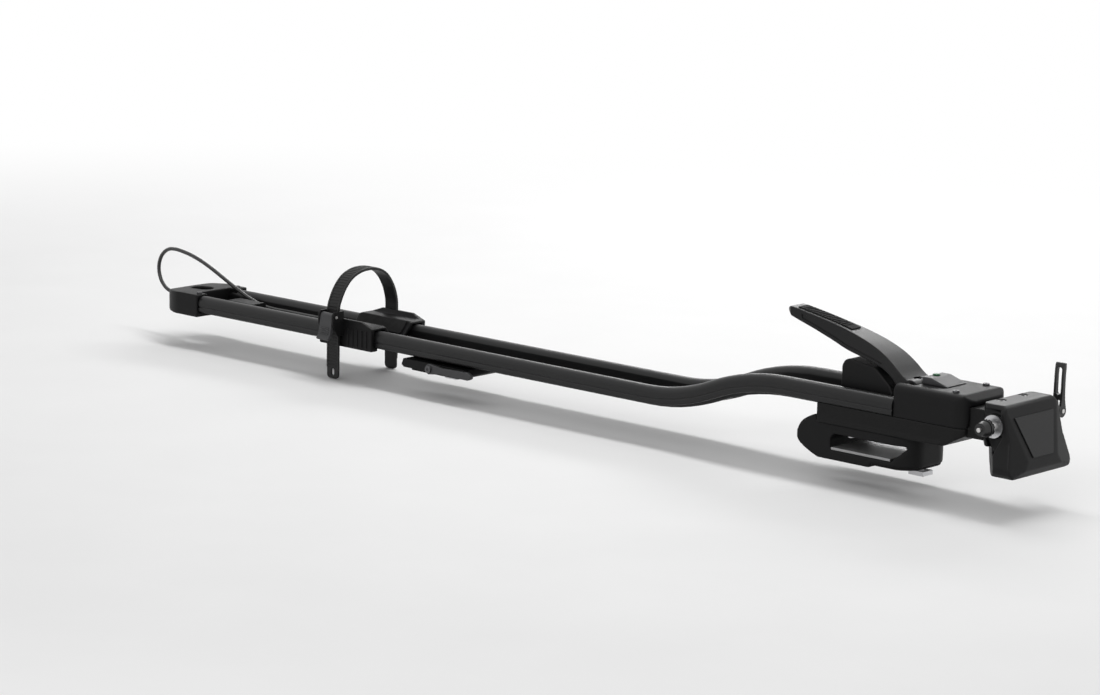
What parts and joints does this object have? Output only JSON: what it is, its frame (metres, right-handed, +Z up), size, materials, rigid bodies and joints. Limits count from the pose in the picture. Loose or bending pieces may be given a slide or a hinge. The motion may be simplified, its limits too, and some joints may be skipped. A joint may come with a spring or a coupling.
{
  "type": "roof mounted bike carrier",
  "caption": "Roof carrier for one bicycle: fork head with quick release, cam lever clamp foot, S bent wheel tray, sliding wheel cradle with ratchet strap, rear foot and lock cable",
  "frame": {"origin": "on the front bar seat, on top of the front crossbar under the clamp bolt", "axes": "+X forward along the vehicle, +Y to the left, +Z up"},
  "size_m": [1.4245, 0.1548, 0.1847],
  "materials": {
    "coated_aluminium": "black powder coat with a fine satin grain",
    "cast_metal": "black coated casting, matte",
    "black_steel": "black coated steel",
    "black_plastic": "black moulded plastic with a fine texture",
    "grey_plastic": "dark grey moulded plastic",
    "green_plastic": "green moulded plastic",
    "strap_plastic": "black flexible moulded strap",
    "black_rubber": "black rubber",
    "cable_sheath": "black sheath over steel cable",
    "zinc_steel": "zinc plated steel",
    "bright_steel": "bright turned steel",
    "bright_aluminium": "bare brushed aluminium"
  },
  "bodies": {
    "carrier": {"wheel_tray": "coated_aluminium", "rear_end_cap": "black_plastic", "end_cap_screws": "zinc_steel", "cable_gland": "black_plastic", "lock_cable": "cable_sheath", "cable_lock_body": "black_plastic", "front_foot_body": "cast_metal", "front_foot_cover": "black_plastic", "cover_screws": "zinc_steel", "lever_rest": "black_plastic", "foot_frame": "black_plastic", "frame_bolts": "zinc_steel", "foot_track_plate": "bright_aluminium", "front_bar_pad": "black_rubber", "lever_pivot_pins": "bright_steel", "lock_housing": "grey_plastic", "fork_head": "black_plastic", "head_plate": "coated_aluminium", "head_bolts": "zinc_steel", "axle_tube": "bright_steel", "dropout_washers": "bright_steel", "qr_cap": "black_steel"},
    "clamp_lever_body": {"clamp_lever": "black_plastic", "lever_grip": "black_rubber"},
    "draw_bolt_body": {"front_t_bolt": "zinc_steel"},
    "button_body": {"release_button": "green_plastic"},
    "skewer_body": {"skewer_rod": "bright_steel", "qr_pin": "bright_steel"},
    "nut_body": {"skewer_nut": "black_steel"},
    "quick_lever_body": {"qr_lever": "black_steel"},
    "cradle_body": {"wheel_cradle": "black_plastic", "cradle_pads": "black_rubber", "wheel_strap": "strap_plastic", "strap_anchor_pin": "zinc_steel", "buckle_base": "black_plastic", "buckle_pin": "bright_steel"},
    "buckle_body": {"buckle_lever": "grey_plastic", "drive_pawl": "bright_steel"},
    "rear_foot_body": {"rear_foot_saddle": "black_plastic", "rear_bar_pad": "black_rubber"},
    "rear_bolt_body": {"rear_t_bolt": "zinc_steel"},
    "rear_cam_body": {"rear_cam_shaft": "bright_steel", "rear_clamp_lever": "grey_plastic", "rear_lever_screw": "zinc_steel"},
    "key_core_body": {"cable_lock_core": "bright_steel"}
  },
  "joints": [
    {"name": "clamp_lever_swing", "type": "hinge", "parent": "carrier", "child": "clamp_lever_body", "pos_m": [-0.00364, 0, 0.088], "axis": [0, 1, 0], "range_deg": [0, 70]},
    {"name": "front_bolt_drop", "type": "slide", "parent": "carrier", "child": "draw_bolt_body", "axis": [0, 0, 1], "range_m": [-0.00464, 0]},
    {"name": "release_press", "type": "slide", "parent": "carrier", "child": "button_body", "axis": [0, 0, -1], "range_m": [0, 0.0016], "stiffness_N_per_m": 600, "springref_m": -0.002},
    {"name": "skewer_shift", "type": "slide", "parent": "carrier", "child": "skewer_body", "axis": [0, 1, 0], "range_m": [-0.0013, 0]},
    {"name": "skewer_nut_spin", "type": "hinge", "parent": "skewer_body", "child": "nut_body", "pos_m": [0.129, -0.065, 0.073], "axis": [0, 1, 0], "continuous": true},
    {"name": "quick_lever_swing", "type": "hinge", "parent": "skewer_body", "child": "quick_lever_body", "pos_m": [0.129, 0.072, 0.073], "axis": [-1, 0, 0], "range_deg": [0, 150]},
    {"name": "cradle_slide", "type": "slide", "parent": "carrier", "child": "cradle_body", "axis": [1, 0, 0], "range_m": [-0.03, 0.07]},
    {"name": "buckle_lift", "type": "hinge", "parent": "cradle_body", "child": "buckle_body", "pos_m": [-0.873, -0.061, 0.053], "axis": [-1, 0, 0], "range_deg": [0, 65]},
    {"name": "rear_foot_slide", "type": "slide", "parent": "carrier", "child": "rear_foot_body", "axis": [1, 0, 0], "range_m": [0, 0.15]},
    {"name": "rear_lever_turn", "type": "hinge", "parent": "rear_foot_body", "child": "rear_cam_body", "pos_m": [-0.70977, 0, 0.0085], "axis": [0, -1, 0], "range_deg": [0, 100]},
    {"name": "rear_bolt_drop", "type": "slide", "parent": "rear_foot_body", "child": "rear_bolt_body", "axis": [0, 0, 1], "range_m": [-0.00235, 0]},
    {"name": "key_turn", "type": "hinge", "parent": "carrier", "child": "key_core_body", "pos_m": [-1.1, -0.0114, 0.031], "axis": [-1, 0, 0], "range_deg": [0, 90]}
  ],
  "couplings": [
    {"joint": "front_bolt_drop", "follows": "clamp_lever_swing", "m_per_rad": -0.0037558},
    {"joint": "skewer_shift", "follows": "quick_lever_swing", "m_per_rad": -0.00045837},
    {"joint": "rear_bolt_drop", "follows": "rear_lever_turn", "m_per_rad": -0.0013167}
  ]
}
